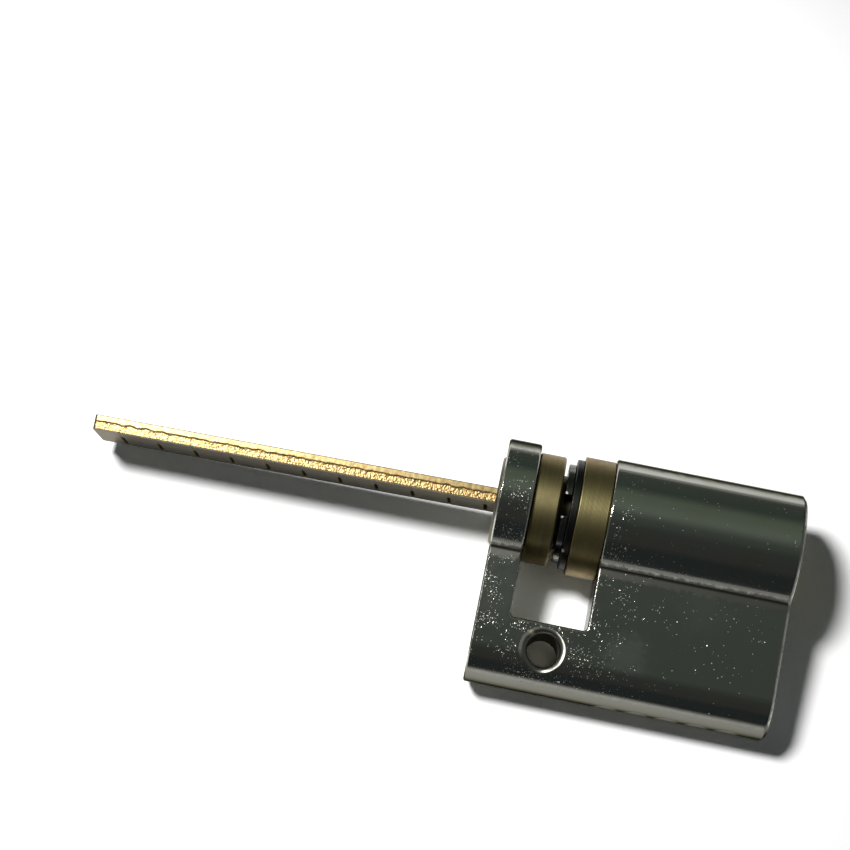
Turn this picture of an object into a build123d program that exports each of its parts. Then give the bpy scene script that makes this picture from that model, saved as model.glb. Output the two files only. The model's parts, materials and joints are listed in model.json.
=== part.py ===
from build123d import *
from math import asin, cos, radians, sin, sqrt
import os

# Half lock cylinder of the Euro profile, with a long break-off tail blade instead of a cam.
# Lengths are millimetres. The origin is on the plug's axis, in the plane of the fixing
# screw. +X runs along that axis to the key side and +Z is up. The cylinder lies on its side
# on a table, with the barrel and the round bottom of the leg both touching it. The leg
# points along -Y and a little down.

# Body of the Euro profile
barrel_d = 17.0
leg_width = 10.0
body_height = 33.0
front_length = 30.5
rear_length = 9.5
junction_r = 0.6
front_chamfer = 0.4
rear_chamfer = 0.2

# Cross hole for the M5 fixing screw, a little nearer the axis than the centre of the leg's
# round bottom
screw_above_centre = 0.5
screw_tap_d = 4.2
screw_mouth_r = 0.75

# Gap cut through the barrel and down the leg, where a cam would turn
gap_width = 10.2
gap_above_screw = 3.5
gap_corner_r = 0.6
gap_edge_r = 0.3

# Clearances: radial in the bores, along the axis against a face, and round a pressed piece
plug_fit = 0.05
end_play = 0.05
press_fit = 0.01

# Plug, with a head sunk in the front face and a stub that carries the rings
plug_d = 12.9
head_lip = 0.6
head_length = 1.2
head_chamfer = 0.3
stub_d = 10.0
stub_reach = 1.2
tongue_thickness = 3.6
tongue_width = 8.8
tongue_length = 2.0

# Keyway, a stepped slot that is open at the side away from the pins
keyway_width = 2.4
keyway_length = 24.0
keyway_floor = 3.2
ward_depth = 0.7
ward_slope = 0.6
near_ward = (1.0, 2.4)
far_ward = (-1.6, 0.2)

# Rings on the plug's stub, from the front to the rear
collar_d = 16.1
collar_length = 4.1
washer_d = 15.0
washer_thickness = 1.0
clip_d = 13.4
clip_thickness = 1.0
clip_opening = 3.0
clip_turn = 90.0
groove_depth = 0.6
ring_chamfer = 0.2
stamped_edge = 0.12

# Tail bush, whose stem turns in the rear flange and holds the blade
bush_d = 14.9
bush_flange_length = 3.5
stem_d = 11.9
stem_proud = 0.35
stem_chamfer = 0.25
socket_fit = 0.05

# Tail blade, a flat bar on edge with break-off notches. It floats on its cross pin by this
# many degrees to either side, and lies at the lower end of that float. The play across its
# thickness lets it stand askew, with its free end a little towards the leg's side.
blade_float = 1.3
blade_skew = 0.55
blade_width = 8.0
blade_thickness = 2.0
blade_reach = 55.2
notch_pitch = 5.0
notch_first = 3.6
notch_width = 0.9
notch_depth = 0.2
blade_corner = 0.15
blade_end_corner = 0.4
tail_pin_d = 1.5
tail_pin_setback = 2.1
tail_pin_inset = 0.15

# Five pin chambers in a row down the leg
chamber_count = 5
chamber_pitch = 4.0
chamber_first = 5.0
pin_d = 2.8
pin_fit = 0.05
shear_gap = 0.05
pin_chamfer = 0.4
key_pin_lengths = (3.4, 4.2, 3.8, 5.0, 4.6)
key_pin_cone = 0.9
key_pin_tip_d = 0.8
pin_seat = 0.3
driver_length = 5.0
spring_wire_d = 0.3
spring_turns = 9
spring_gap = 0.05
chamber_plug_d = 3.3
chamber_plug_length = 2.6

# Radii that the pieces share
barrel_r = barrel_d / 2
leg_r = leg_width / 2
plug_r = plug_d / 2
bore_r = plug_r + plug_fit
stub_r = stub_d / 2
head_r = plug_r + head_lip
stem_r = stem_d / 2
stem_bore_r = stem_r + plug_fit
pin_r = pin_d / 2
chamber_r = pin_r + pin_fit
groove_r = stub_r - groove_depth

# Places along the plug's axis
front_face = front_length
rear_face = -rear_length
gap_front = gap_width / 2
gap_rear = -gap_width / 2
collar_front = gap_front - end_play
collar_rear = collar_front - collar_length
washer_rear = collar_rear - washer_thickness
clip_rear = washer_rear - clip_thickness
groove_rear = clip_rear - end_play
bush_rear = gap_rear + end_play
bush_front = bush_rear + bush_flange_length
stub_rear = bush_front - stub_reach
tongue_rear = stub_rear - tongue_length
stem_rear = rear_face - stem_proud
tail_pin_x = rear_face + tail_pin_setback
keyway_end = front_face - keyway_length
chamber_xs = [front_face - chamber_first - i * chamber_pitch for i in range(chamber_count)]

# Places down the leg, counted from the plug's axis
leg_centre = body_height - barrel_r - leg_r
leg_bottom = body_height - barrel_r
screw_drop = leg_centre - screw_above_centre
gap_depth = screw_drop - gap_above_screw
junction_drop = sqrt(barrel_r**2 - leg_r**2)
key_pin_top = plug_r - shear_gap
driver_near = plug_r + shear_gap
driver_far = driver_near + driver_length
chamber_plug_near = leg_bottom - chamber_plug_length
spring_near = driver_far + spring_gap + spring_wire_d / 2
spring_far = chamber_plug_near - spring_gap - spring_wire_d / 2

# The body leans until its barrel and its leg touch the table together
lean = asin((barrel_r - leg_r) / leg_centre)
axial = Vector(1, 0, 0)
up_leg = Vector(0, cos(lean), sin(lean))
out_of_face = Vector(0, -sin(lean), cos(lean))

# The blade swings about its cross pin and stands askew on it, so its slot has room for both
swing = sin(radians(blade_float))
skew = sin(radians(blade_skew))
hanging_axis = axial * cos(radians(blade_float)) + out_of_face * swing
blade_axis = hanging_axis * cos(radians(blade_skew)) + up_leg * skew
blade_side = up_leg * cos(radians(blade_skew)) - hanging_axis * skew
blade_behind_pin = blade_reach + tail_pin_setback
end_sweep = blade_width / 2 * swing + blade_thickness / 2 * skew
blade_before_pin = tongue_rear - tail_pin_x - 2 * end_play - end_sweep
slot_reach = max(blade_before_pin, tail_pin_x - stem_rear)
slot_width = blade_width + 2 * (slot_reach * swing + socket_fit)
slot_height = blade_thickness + 2 * (slot_reach * skew + socket_fit)

# A cutting tool reaches this far past the surface that it cuts
overrun = 1.0


def section(x):
    """Plane square to the axis: sketch X towards the table, sketch Y from leg to barrel."""
    return Plane(origin=axial * x, x_dir=-out_of_face, z_dir=axial)


def down_leg(x, drop):
    """Plane square to the leg's length, facing the bottom of the leg, at a drop below the axis."""
    return Plane(origin=axial * x - up_leg * drop, x_dir=axial, z_dir=-up_leg)


def across_leg(x, drop, height=0.0):
    """Plane along the broad faces of the leg, facing up: sketch Y from leg to barrel."""
    origin = axial * x - up_leg * drop + out_of_face * height
    return Plane(origin=origin, x_dir=axial, z_dir=out_of_face)


def across_blade(behind_pin):
    """Plane square to the hanging blade: sketch X down its width, sketch Y across its thickness."""
    origin = axial * tail_pin_x - blade_axis * behind_pin
    return Plane(origin=origin, x_dir=blade_side.cross(blade_axis), z_dir=blade_axis)


def along_blade(behind_pin):
    """Plane square to the hanging blade's width: sketch X along it, sketch Y across it."""
    origin = axial * tail_pin_x - blade_axis * behind_pin
    return Plane(origin=origin, x_dir=blade_axis, z_dir=blade_axis.cross(blade_side))


def reach(shape, direction):
    """How far the middle of a shape lies from the origin along a direction."""
    return shape.center().dot(direction)


def body_profile():
    """The Euro profile: round barrel, narrow leg, round bottom, small fillets between."""
    with BuildSketch() as profile:
        with BuildLine():
            Line((leg_r, -leg_centre), (leg_r, -junction_drop))
            ThreePointArc((leg_r, -junction_drop), (0, barrel_r), (-leg_r, -junction_drop))
            Line((-leg_r, -junction_drop), (-leg_r, -leg_centre))
            ThreePointArc((-leg_r, -leg_centre), (0, -leg_bottom), (leg_r, -leg_centre))
        make_face()
        fillet(vertices().group_by(Axis.Y)[-1], radius=junction_r)
    return profile.sketch


def save(part, name):
    """Label a finished piece and write it under its node's name."""
    part.label = name
    export_step(part, f"parts/{name}.step")


os.makedirs("parts", exist_ok=True)

# Cylinder body: nickel-plated brass, in one piece
with BuildPart() as cylinder_body:
    with BuildSketch(section(rear_face)):
        add(body_profile())
    extrude(amount=front_length + rear_length)
    ends = faces().filter_by(Axis.X).sort_by(Axis.X)
    chamfer(ends[0].edges(), length=rear_chamfer)
    chamfer(ends[-1].edges(), length=front_chamfer)
    # Gap for the cam, right through the barrel and open at its top
    gap_top = barrel_r + overrun
    with BuildSketch(across_leg(0, 0)):
        with Locations((0, gap_top)):
            Rectangle(gap_width, gap_top + gap_depth, align=(Align.CENTER, Align.MAX))
        fillet(vertices().group_by(Axis.Y)[0], radius=gap_corner_r)
    extrude(amount=barrel_r + overrun, both=True, mode=Mode.SUBTRACT)
    gap_rim = edges(Select.LAST).filter_by(Axis((0, 0, 0), out_of_face), reverse=True)
    fillet(gap_rim, radius=gap_edge_r)
    # Bores for the plug, its head and the stem of the tail bush
    bores = (
        (gap_front - overrun, front_face + overrun, bore_r),
        (front_face - head_length - end_play, front_face + overrun, head_r + plug_fit),
        (rear_face - overrun, gap_rear + overrun, stem_bore_r),
    )
    for bore_start, bore_end, radius in bores:
        with BuildSketch(section(bore_start)):
            Circle(radius)
        extrude(amount=bore_end - bore_start, mode=Mode.SUBTRACT)
    # Hole for the fixing screw, with a rounded mouth in both faces
    with BuildSketch(across_leg(0, screw_drop)):
        Circle(screw_tap_d / 2)
    extrude(amount=leg_r + overrun, both=True, mode=Mode.SUBTRACT)
    fillet(edges(Select.LAST).filter_by(GeomType.CIRCLE), radius=screw_mouth_r)
    # Chambers for the pins and springs, drilled from the bottom of the leg
    for chamber_x in chamber_xs:
        with BuildSketch(down_leg(chamber_x, 0)):
            Circle(chamber_r)
        extrude(amount=leg_bottom + overrun, mode=Mode.SUBTRACT)
        with BuildSketch(down_leg(chamber_x, chamber_plug_near)):
            Circle(chamber_plug_d / 2)
        extrude(amount=chamber_plug_length + overrun, mode=Mode.SUBTRACT)
save(cylinder_body.part, "cylinder_body")

# Plug: brass rotor with the keyway, the pin holes and a tongue that drives the tail bush
with BuildPart() as plug:
    with BuildSketch(section(collar_front)):
        Circle(plug_r)
    extrude(amount=front_face - collar_front)
    with BuildSketch(section(front_face - head_length)):
        Circle(head_r)
    extrude(amount=head_length)
    head_edge = edges().filter_by(GeomType.CIRCLE).group_by(Axis.X)[-1]
    chamfer(head_edge, length=head_chamfer)
    with BuildSketch(section(stub_rear)):
        Circle(stub_r)
    extrude(amount=collar_front - stub_rear)
    with BuildSketch(section(groove_rear)):
        Circle(stub_r + overrun)
        Circle(groove_r, mode=Mode.SUBTRACT)
    extrude(amount=washer_rear - groove_rear, mode=Mode.SUBTRACT)
    with BuildSketch(section(tongue_rear)):
        Rectangle(tongue_width, tongue_thickness)
        Circle(stub_r, mode=Mode.INTERSECT)
    extrude(amount=tongue_length)
    # Keyway with a ward in each side wall
    side = keyway_width / 2
    step = side - ward_depth
    with BuildSketch(section(keyway_end)):
        with BuildLine():
            Polyline(
                (side, plug_r + overrun),
                (side, near_ward[1]),
                (step, near_ward[1] - ward_slope),
                (step, near_ward[0] + ward_slope),
                (side, near_ward[0]),
                (side, -keyway_floor),
                (-side, -keyway_floor),
                (-side, far_ward[0]),
                (-step, far_ward[0] + ward_slope),
                (-step, far_ward[1] - ward_slope),
                (-side, far_ward[1]),
                (-side, plug_r + overrun),
                close=True,
            )
        make_face()
    extrude(amount=keyway_length, mode=Mode.SUBTRACT)
    # Pin holes, drilled from the shear line past the floor of the keyway
    for chamber_x in chamber_xs:
        with BuildSketch(down_leg(chamber_x, pin_seat)):
            Circle(chamber_r)
        extrude(amount=plug_r + overrun - pin_seat, mode=Mode.SUBTRACT)
save(plug.part, "plug")

# Collar: turned brass ring between the front barrel and the thrust washer
with BuildPart() as plug_collar:
    with BuildSketch(section(collar_rear)):
        Circle(collar_d / 2)
        Circle(stub_r + plug_fit, mode=Mode.SUBTRACT)
    extrude(amount=collar_length)
    rims = edges().filter_by(GeomType.CIRCLE).sort_by(SortBy.RADIUS)[-2:]
    chamfer(rims, length=ring_chamfer)
save(plug_collar.part, "plug_collar")

# Thrust washer: thin steel disc between the collar and the clip
with BuildPart() as thrust_washer:
    with BuildSketch(section(washer_rear)):
        Circle(washer_d / 2)
        Circle(stub_r + plug_fit, mode=Mode.SUBTRACT)
    extrude(amount=washer_thickness)
    rims = edges().filter_by(GeomType.CIRCLE).sort_by(SortBy.RADIUS)[-2:]
    chamfer(rims, length=stamped_edge)
save(thrust_washer.part, "thrust_washer")

# Retaining clip: open spring-steel ring in the groove of the stub
with BuildPart() as retaining_clip:
    with BuildSketch(section(clip_rear)):
        Circle(clip_d / 2)
        Circle(groove_r + plug_fit, mode=Mode.SUBTRACT)
        with Locations(Rotation(0, 0, clip_turn)):
            Rectangle(clip_opening, clip_d, align=(Align.CENTER, Align.MIN), mode=Mode.SUBTRACT)
    extrude(amount=clip_thickness)
    rims = edges().filter_by(GeomType.CIRCLE).sort_by(SortBy.RADIUS)[-2:]
    chamfer(rims, length=stamped_edge)
save(retaining_clip.part, "retaining_clip")

# Tail bush: brass flange in the gap, a stem through the rear flange, and a slot for the blade
with BuildPart() as tail_bush:
    with BuildSketch(section(bush_rear)):
        Circle(bush_d / 2)
    extrude(amount=bush_flange_length)
    flange_rims = edges().filter_by(GeomType.CIRCLE)
    chamfer(flange_rims, length=ring_chamfer)
    with BuildSketch(section(stem_rear)):
        Circle(stem_r)
    extrude(amount=bush_rear - stem_rear)
    stem_rim = edges().filter_by(GeomType.CIRCLE).group_by(Axis.X)[0]
    chamfer(stem_rim, length=stem_chamfer)
    # Socket for the plug's stub, then for its tongue, then for the blade
    with BuildSketch(section(stub_rear - end_play)):
        Circle(stub_r + socket_fit)
    extrude(amount=stub_reach + end_play, mode=Mode.SUBTRACT)
    with BuildSketch(section(tongue_rear - end_play)):
        Rectangle(tongue_width + 2 * socket_fit, tongue_thickness + 2 * socket_fit)
        Circle(stub_r + socket_fit, mode=Mode.INTERSECT)
    extrude(amount=tongue_length + 2 * end_play, mode=Mode.SUBTRACT)
    with BuildSketch(section(stem_rear - overrun)):
        Rectangle(slot_width, slot_height)
    extrude(amount=tongue_rear - stem_rear + overrun, mode=Mode.SUBTRACT)
    with BuildSketch(down_leg(tail_pin_x, 0)):
        Circle(tail_pin_d / 2 + press_fit)
    extrude(amount=stem_r + overrun, both=True, mode=Mode.SUBTRACT)
save(tail_bush.part, "tail_bush")

# Tail blade: flat brass bar, notched across one broad face so that it snaps to length
with BuildPart() as tail_blade:
    with BuildSketch(across_blade(blade_behind_pin)):
        Rectangle(blade_width, blade_thickness)
        chamfer(vertices(), length=blade_corner)
    extrude(amount=blade_behind_pin + blade_before_pin)
    end_corners = edges().filter_by(Axis((0, 0, 0), blade_side)).group_by(Axis.X)[0]
    fillet(end_corners, radius=blade_end_corner)
    notch_count = int((blade_reach - stem_proud - notch_first) // notch_pitch) + 1
    for notch in range(notch_count):
        notch_behind_pin = blade_behind_pin - notch_first - notch * notch_pitch
        surface = -blade_thickness / 2
        with BuildSketch(along_blade(notch_behind_pin)):
            with BuildLine():
                Polyline(
                    (-notch_width, surface - notch_depth),
                    (0, surface + notch_depth),
                    (notch_width, surface - notch_depth),
                    close=True,
                )
            make_face()
        extrude(amount=blade_width, both=True, mode=Mode.SUBTRACT)
    with BuildSketch(down_leg(tail_pin_x, 0)):
        Circle(tail_pin_d / 2 + socket_fit)
    extrude(amount=blade_thickness, both=True, mode=Mode.SUBTRACT)
save(tail_blade.part, "tail_blade")

# Tail pin: steel cross pin through the stem and the blade, shut in by the rear bore
with BuildPart() as tail_pin:
    with BuildSketch(down_leg(tail_pin_x, 0)):
        Circle(tail_pin_d / 2)
    extrude(amount=stem_r - tail_pin_inset, both=True)
save(tail_pin.part, "tail_pin")


def make_key_pin(x, length):
    """Brass key pin: chamfered at the shear line, coned where it meets the key."""
    with BuildPart() as key_pin:
        with BuildSketch(down_leg(x, key_pin_top - length + key_pin_cone)):
            Circle(pin_r)
        extrude(amount=length - key_pin_cone)
        outer_rim = edges().filter_by(GeomType.CIRCLE).sort_by(lambda e: reach(e, up_leg))[0]
        chamfer(outer_rim, length=pin_chamfer)
        with BuildSketch(down_leg(x, key_pin_top - length)):
            Circle(key_pin_tip_d / 2)
        with BuildSketch(down_leg(x, key_pin_top - length + key_pin_cone)):
            Circle(pin_r)
        loft()
    return key_pin.part


def make_driver_pin(x):
    """Brass driver pin that the spring holds against the key pin."""
    with BuildPart() as driver_pin:
        with BuildSketch(down_leg(x, driver_near)):
            Circle(pin_r)
        extrude(amount=driver_length)
        chamfer(edges().filter_by(GeomType.CIRCLE), length=pin_chamfer / 2)
    return driver_pin.part


def make_pin_spring(x):
    """Open coil of spring wire between the driver pin and the chamber's plug."""
    height = spring_far - spring_near
    coil_r = chamber_r - pin_fit - spring_wire_d
    seat = down_leg(x, spring_near)
    with BuildPart() as pin_spring:
        with BuildLine():
            coil = Helix(height / spring_turns, height, coil_r, seat.origin, seat.z_dir)
        with BuildSketch(Plane(origin=coil @ 0, z_dir=coil % 0)):
            Circle(spring_wire_d / 2)
        sweep(path=coil, is_frenet=True)
    return pin_spring.part


def make_chamber_plug(x):
    """Brass plug that shuts a chamber, milled flush with the round bottom of the leg."""
    with BuildPart() as chamber_plug:
        with BuildSketch(down_leg(x, chamber_plug_near)):
            Circle(chamber_plug_d / 2 - press_fit)
        extrude(amount=chamber_plug_length)
        with BuildSketch(section(x - chamber_plug_d)):
            add(body_profile())
        extrude(amount=2 * chamber_plug_d, mode=Mode.INTERSECT)
    return chamber_plug.part


# One stack in each chamber: key pin, driver pin, spring and closing plug
for number, chamber_x in enumerate(chamber_xs, start=1):
    key_pin_length = key_pin_lengths[(number - 1) % len(key_pin_lengths)]
    save(make_key_pin(chamber_x, key_pin_length), f"key_pin_{number}")
    save(make_driver_pin(chamber_x), f"driver_pin_{number}")
    save(make_pin_spring(chamber_x), f"pin_spring_{number}")
    save(make_chamber_plug(chamber_x), f"chamber_plug_{number}")
    drop = key_pin_top - key_pin_length - pin_seat
    print(f"key_pin_{number}: free travel towards the axis {drop:.2f} mm")

spring_pitch = (spring_far - spring_near) / spring_turns
print(f"pin springs: gap between turns {spring_pitch - spring_wire_d:.2f} mm")
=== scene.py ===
"""Half lock cylinder: finishes, detail pieces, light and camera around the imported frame.

Sizes are written in millimetres and turned into metres where a mesh or a node needs them.
The frame is the part's own: the origin on the plug's axis in the plane of the fixing screw,
+X along that axis to the key side, +Z up, the leg pointing along -Y and a little down.
"""
from __future__ import annotations

import json
import logging
from dataclasses import dataclass
from enum import Enum
from math import asin, ceil, cos, pi, radians, sin
from typing import Union

import bmesh
import bpy
from mathutils import Matrix, Vector, noise

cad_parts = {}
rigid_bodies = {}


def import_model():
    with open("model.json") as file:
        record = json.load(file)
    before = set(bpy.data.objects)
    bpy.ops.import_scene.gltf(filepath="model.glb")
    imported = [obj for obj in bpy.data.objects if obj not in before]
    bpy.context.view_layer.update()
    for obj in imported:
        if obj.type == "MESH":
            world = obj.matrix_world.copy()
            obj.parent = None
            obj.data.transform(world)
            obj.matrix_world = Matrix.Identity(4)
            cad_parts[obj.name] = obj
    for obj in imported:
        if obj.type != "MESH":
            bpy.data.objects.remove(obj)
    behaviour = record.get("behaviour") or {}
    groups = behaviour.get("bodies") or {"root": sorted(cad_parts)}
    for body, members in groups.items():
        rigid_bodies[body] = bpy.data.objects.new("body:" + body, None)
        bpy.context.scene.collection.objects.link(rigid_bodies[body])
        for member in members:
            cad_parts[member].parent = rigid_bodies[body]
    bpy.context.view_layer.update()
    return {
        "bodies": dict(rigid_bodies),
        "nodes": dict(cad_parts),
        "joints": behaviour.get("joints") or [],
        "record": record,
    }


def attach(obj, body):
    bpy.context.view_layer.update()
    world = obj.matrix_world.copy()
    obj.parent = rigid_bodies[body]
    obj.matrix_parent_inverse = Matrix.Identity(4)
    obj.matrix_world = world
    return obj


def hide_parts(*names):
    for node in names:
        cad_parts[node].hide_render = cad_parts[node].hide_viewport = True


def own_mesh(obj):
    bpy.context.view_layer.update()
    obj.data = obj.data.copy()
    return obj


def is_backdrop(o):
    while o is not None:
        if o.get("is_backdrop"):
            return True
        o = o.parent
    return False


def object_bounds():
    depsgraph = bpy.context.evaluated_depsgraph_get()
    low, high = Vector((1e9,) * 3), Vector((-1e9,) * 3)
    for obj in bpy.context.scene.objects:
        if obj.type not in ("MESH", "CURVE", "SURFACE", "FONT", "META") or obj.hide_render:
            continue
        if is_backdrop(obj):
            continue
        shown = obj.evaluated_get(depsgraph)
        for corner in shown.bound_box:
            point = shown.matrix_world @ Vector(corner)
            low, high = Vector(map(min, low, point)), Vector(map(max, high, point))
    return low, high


LOG = logging.getLogger("lock_cylinder")

MM = 0.001
PER_MM = 1000.0

Colour = tuple[float, float, float]
Place = Union[Vector, tuple[float, float, float]]
Socket = bpy.types.NodeSocket
Material = bpy.types.Material
Feed = Union[float, tuple, Vector, Material, Socket]

BARREL_RADIUS = 8.5
LEG_HALF = 5.0
LEG_ROUND_DROP = 19.5
LEAN = asin((BARREL_RADIUS - LEG_HALF) / LEG_ROUND_DROP)
AXIAL = Vector((1.0, 0.0, 0.0))
UP_LEG = Vector((0.0, cos(LEAN), sin(LEAN)))
OUT_OF_FACE = Vector((0.0, -sin(LEAN), cos(LEAN)))

DROOP = radians(1.3)
SKEW = radians(0.55)
HANGING_AXIS = AXIAL * cos(DROOP) + OUT_OF_FACE * sin(DROOP)
BLADE_AXIS = HANGING_AXIS * cos(SKEW) + UP_LEG * sin(SKEW)
BLADE_SIDE = UP_LEG * cos(SKEW) - HANGING_AXIS * sin(SKEW)
BLADE_DOWN = BLADE_SIDE.cross(BLADE_AXIS)
BLADE_PIN = AXIAL * -7.4


class Slot(Enum):
    """Material slots of the record."""

    NICKEL_PLATE = "nickel_plate"
    PLUG_BRASS = "plug_brass"
    AGED_BRASS = "aged_brass"
    BLADE_BRASS = "blade_brass"
    PIN_BRASS = "pin_brass"
    PLUG_SEAL = "plug_seal"
    DARK_STEEL = "dark_steel"
    CLIP_STEEL = "clip_steel"
    SPRING_STEEL = "spring_steel"


class Lay(Enum):
    """Which way the fine tool lines of a finish run."""

    NONE = "none"
    AROUND = "around"
    ALONG = "along"


class Spread(Enum):
    """How a soiled or painted place spreads from its centre."""

    BAND = "band"
    ROD = "rod"
    BALL = "ball"


def add_object(name: str, data: bpy.types.ID, placed: Matrix | None = None) -> bpy.types.Object:
    """Put a new object into the scene.

    Args:
        name: Its name.
        data: Its mesh, camera or light.
        placed: Where it stands, if not at the origin.

    Returns:
        The object.
    """
    made = bpy.data.objects.new(name, data)
    if placed is not None:
        made.matrix_world = placed
    bpy.context.scene.collection.objects.link(made)
    return made


class Graph:
    """A node tree with short calls that add nodes and join them.

    Attributes:
        prefix: How the type names of its own kind of node start.
        colour_mix: The Mix node's numbers for its two colours and their mix.
    """

    prefix = "ShaderNode"
    colour_mix = (6, 7, 2)

    def __init__(self, tree: bpy.types.NodeTree) -> None:
        """Keep the tree and empty it.

        Args:
            tree: The tree of a material, of the world or of a form.
        """
        self.tree = tree
        self.tree.nodes.clear()

    def add(self, kind: str, feeds: dict[str | int, Feed] | None = None,
            **settings: str | int | bool) -> bpy.types.Node:
        """Add a node.

        Args:
            kind: The node's type name, with or without this graph's own prefix.
            feeds: Input names or numbers, each with a value to set or a socket to join.
            settings: Properties of the node itself.

        Returns:
            The new node.
        """
        full = kind if kind.startswith(("ShaderNode", "GeometryNode")) else self.prefix + kind
        node = self.tree.nodes.new(full)
        for key, value in settings.items():
            setattr(node, key, value)
        for key, value in (feeds or {}).items():
            self.feed(node.inputs[key], value)
        return node

    def feed(self, socket: Socket, value: Feed) -> None:
        """Join a socket to an input, or set the input's own value.

        Args:
            socket: The input.
            value: An output socket, a number, a colour or a material.
        """
        if isinstance(value, Socket):
            self.tree.links.new(value, socket)
        elif isinstance(value, tuple) and len(value) == 3 and socket.type == "RGBA":
            socket.default_value = (*value, 1.0)
        else:
            socket.default_value = value

    def math(self, operation: str, a: Feed, b: Feed = 0.0, c: Feed = 0.0) -> Socket:
        """Join numbers with one operation.

        Args:
            operation: The name of the Math node's operation.
            a: The first number.
            b: The second number.
            c: The third number, where the operation has one.

        Returns:
            The result's socket.
        """
        return self.add("ShaderNodeMath", {0: a, 1: b, 2: c}, operation=operation).outputs[0]

    def product(self, first: Feed, *others: Feed) -> Feed:
        """Multiply numbers.

        Args:
            first: The first number.
            others: The other numbers.

        Returns:
            The result's socket.
        """
        for other in others:
            first = self.math("MULTIPLY", first, other)
        return first

    def vector(self, operation: str, a: Feed, b: Feed) -> Socket:
        """Join vectors with one operation.

        Args:
            operation: The name of the Vector Math node's operation.
            a: The first vector.
            b: The second vector.

        Returns:
            The socket of the new vector, or of the number that a dot product or a length gives.
        """
        node = self.add("ShaderNodeVectorMath", {0: a, 1: b}, operation=operation)
        return node.outputs["Value" if operation in ("DOT_PRODUCT", "LENGTH") else "Vector"]

    def spread(self, value: Feed, span: tuple[Feed, Feed], onto: tuple[Feed, Feed] = (0.0, 1.0),
               smooth: bool = False) -> Socket:
        """Carry a number from one range to another, held at the ends.

        Args:
            value: The number.
            span: Where the first range starts and ends.
            onto: What these two ends become.
            smooth: Ease in and out instead of a straight line.

        Returns:
            The result's socket.
        """
        node = self.add("ShaderNodeMapRange", {
            "Value": value, "From Min": span[0], "From Max": span[1],
            "To Min": onto[0], "To Max": onto[1],
        }, interpolation_type="SMOOTHSTEP" if smooth else "LINEAR", clamp=True)
        return node.outputs["Result"]

    def blend(self, share: Feed, a: Feed, b: Feed) -> Socket:
        """Mix two colours.

        Args:
            share: How much of the second colour.
            a: The first colour.
            b: The second colour.

        Returns:
            The mixed colour's socket.
        """
        first, second, result = self.colour_mix
        mixed = self.add("Mix", {"Factor": share, first: a, second: b}, data_type="RGBA")
        return mixed.outputs[result]

    def stretch(self, place: Feed, scale: Place) -> Socket:
        """Stretch or flatten coordinates.

        Args:
            place: The coordinates.
            scale: How much each axis is multiplied by.

        Returns:
            The new coordinates' socket.
        """
        return self.add("Mapping", {"Vector": place, "Scale": scale}).outputs[0]


class Surface(Graph):
    """The node tree of a new material.

    Attributes:
        material: The material.
        place: The point on the surface, in the piece's own frame, in millimetres.
    """

    def __init__(self, name: str) -> None:
        """Make the material.

        Args:
            name: Its name.
        """
        self.material = bpy.data.materials.new(name)
        self.material.use_nodes = True
        super().__init__(self.material.node_tree)
        self.place = self.stretch(self.add("TexCoord").outputs["Object"], (PER_MM, PER_MM, PER_MM))

    def noise(self, size: float, detail: float = 2.0, rough: float = 0.5,
              place: Feed | None = None) -> Socket:
        """Soft noise between 0 and 1.

        Args:
            size: How wide one patch is, in millimetres.
            detail: How many finer layers are added.
            rough: How strong the finer layers are.
            place: Coordinates other than the point's own.

        Returns:
            The noise's socket.
        """
        return self.add("TexNoise", {"Vector": self.place if place is None else place,
                                     "Scale": 1.0 / size, "Detail": detail,
                                     "Roughness": rough}).outputs[0]


@dataclass(frozen=True)
class Pits:
    """One layer of dings or specks in a surface.

    Attributes:
        spacing: Distance between places where one may be.
        share: Share of those places that have one.
        radius: Radius of the largest.
        depth: Depth of the deepest.
        tone: Colour inside.
        roughness: Roughness inside.
    """

    spacing: float
    share: float
    radius: float
    depth: float
    tone: Colour = (0.86, 0.82, 0.66)
    roughness: float = 0.34


@dataclass(frozen=True)
class SoilAndPaintedLight:
    """Grime or wear, or painted shade and painted highlights, laid in one place.

    Attributes:
        spread: Whether it lies along a plane, round a line or round a point.
        centre: A point of that plane or line, or the point itself.
        width: Distance from the centre that is fully covered.
        fade: Further distance over which it thins out.
        tone: Its colour.
        axis: The plane's normal or the line's direction.
        share: How much of the metal it hides.
        roughness: Its roughness.
        wobble: How far its border wanders.
    """

    spread: Spread
    centre: Place
    width: float
    fade: float
    tone: Colour
    axis: Place = (1.0, 0.0, 0.0)
    share: float = 0.9
    roughness: float = 0.45
    wobble: float = 0.15

    def mask(self, graph: Surface) -> Socket:
        """How much of the metal is hidden at a point.

        Args:
            graph: The material's graph.

        Returns:
            A number from 0 to the soil's share.
        """
        offset = graph.vector("SUBTRACT", graph.place, self.centre)
        if self.spread is Spread.ROD:
            offset = graph.vector("CROSS_PRODUCT", offset, self.axis)
        # A length reads the first vector alone
        measure = "DOT_PRODUCT" if self.spread is Spread.BAND else "LENGTH"
        distance = graph.math("ABSOLUTE", graph.vector(measure, offset, self.axis))
        wander = graph.spread(graph.noise(size=0.9, detail=3.0), MIDDLE_NOISE,
                              (-self.wobble, self.wobble))
        return graph.spread(graph.math("ADD", distance, wander),
                            (self.width, self.width + self.fade), (self.share, 0.0), smooth=True)


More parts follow.
